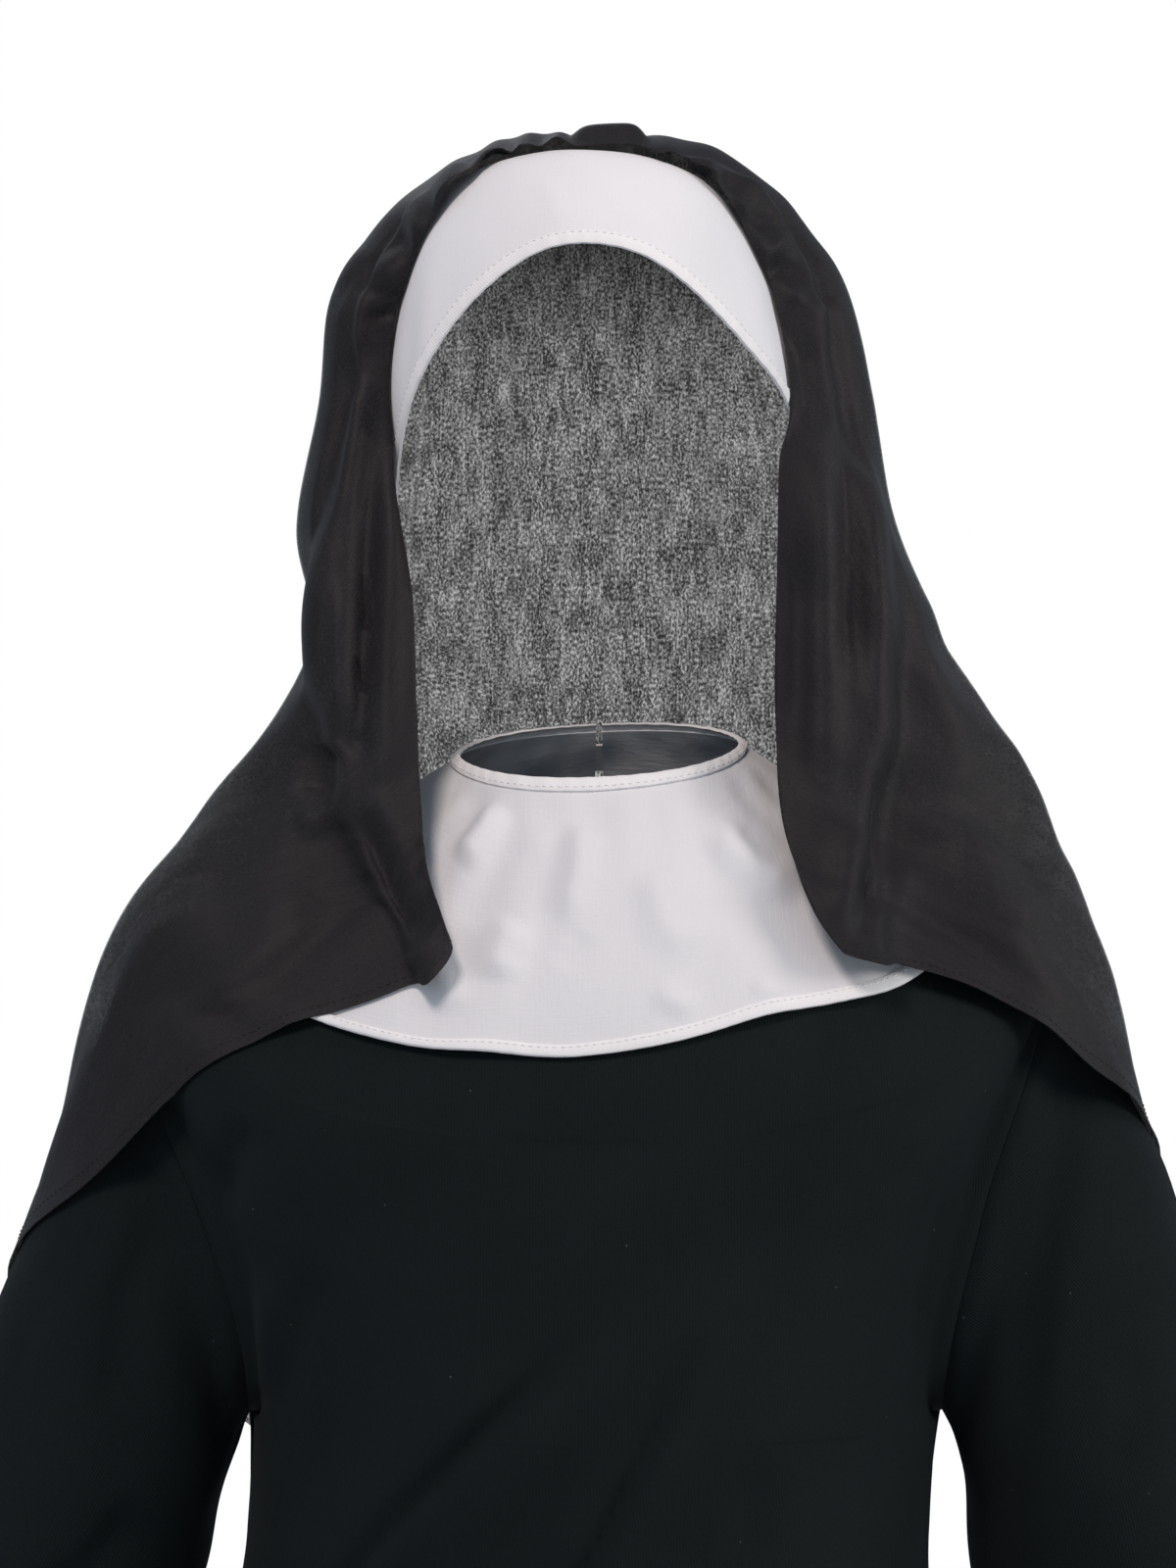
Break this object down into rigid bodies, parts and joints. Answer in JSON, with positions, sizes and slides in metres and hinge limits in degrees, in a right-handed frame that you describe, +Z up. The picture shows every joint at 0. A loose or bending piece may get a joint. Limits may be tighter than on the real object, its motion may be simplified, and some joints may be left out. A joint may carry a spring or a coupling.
{
  "type": "nun habit",
  "caption": "Hollow worn habit: black veil gathered onto a white brow band, round white bib with bound edges, long dark tunic with set-in sleeves.",
  "frame": {"origin": "centre of the base of the neck, where the neck and shoulders carry the habit", "axes": "+Z up, -Y the way the habit faces, +X the side of the wearer's left arm"},
  "size_m": [0.6857, 0.5378, 1.606],
  "materials": {
    "veil_cloth": "thin slightly sheer plain weave, soft sheen",
    "white_cloth": "white cotton, matte",
    "white_tape": "folded white cotton tape, matte, stitched",
    "tunic_cloth": "dark jersey, matte"
  },
  "bodies": {
    "root": {"veil": "veil_cloth", "headband": "white_cloth", "headband_edging": "white_tape", "bib": "white_cloth", "bib_neck_binding": "white_tape", "bib_hem_binding": "white_tape", "bib_closure": "white_tape", "tunic_front": "tunic_cloth", "tunic_back": "tunic_cloth", "sleeve_left": "tunic_cloth", "sleeve_right": "tunic_cloth"}
  },
  "joints": []
}
